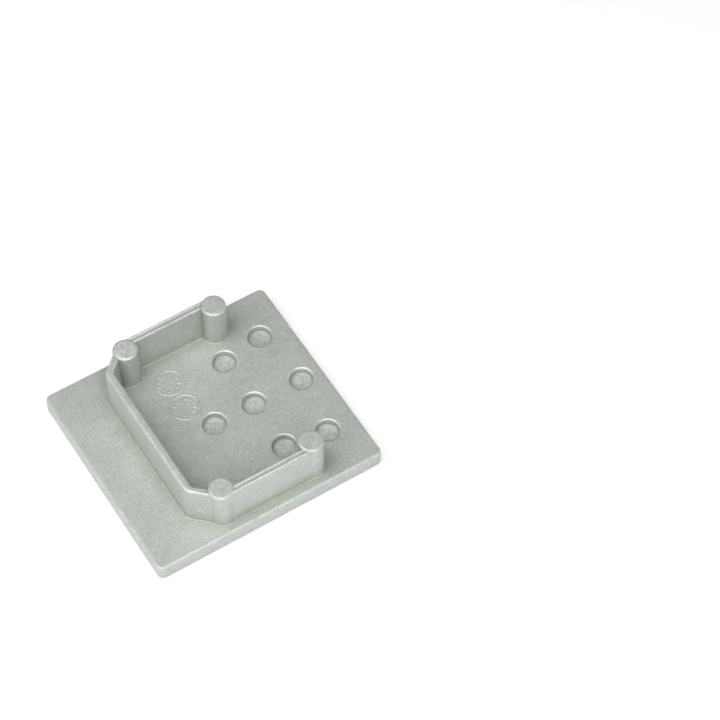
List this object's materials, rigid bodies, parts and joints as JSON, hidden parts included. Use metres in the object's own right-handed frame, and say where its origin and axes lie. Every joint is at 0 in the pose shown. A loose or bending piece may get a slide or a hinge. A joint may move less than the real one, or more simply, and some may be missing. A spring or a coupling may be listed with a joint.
{
  "type": "profile end cap",
  "caption": "Die-cast rectangular end cap with a grained cover face, a low U-shaped wall and press-in pegs that locate it in the end of an extruded profile.",
  "frame": {"origin": "centre of the outer (cover) face, which the cap lies on", "axes": "+Z from the outer face into the profile, +X towards the open end of the U-shaped wall, +Y along the plate's shorter side"},
  "size_m": [0.045, 0.0414, 0.0126],
  "materials": {
    "silver_lacquer": "satin silver lacquer on a lightly grained casting"
  },
  "bodies": {
    "root": {"end_cap": "silver_lacquer"}
  },
  "joints": []
}
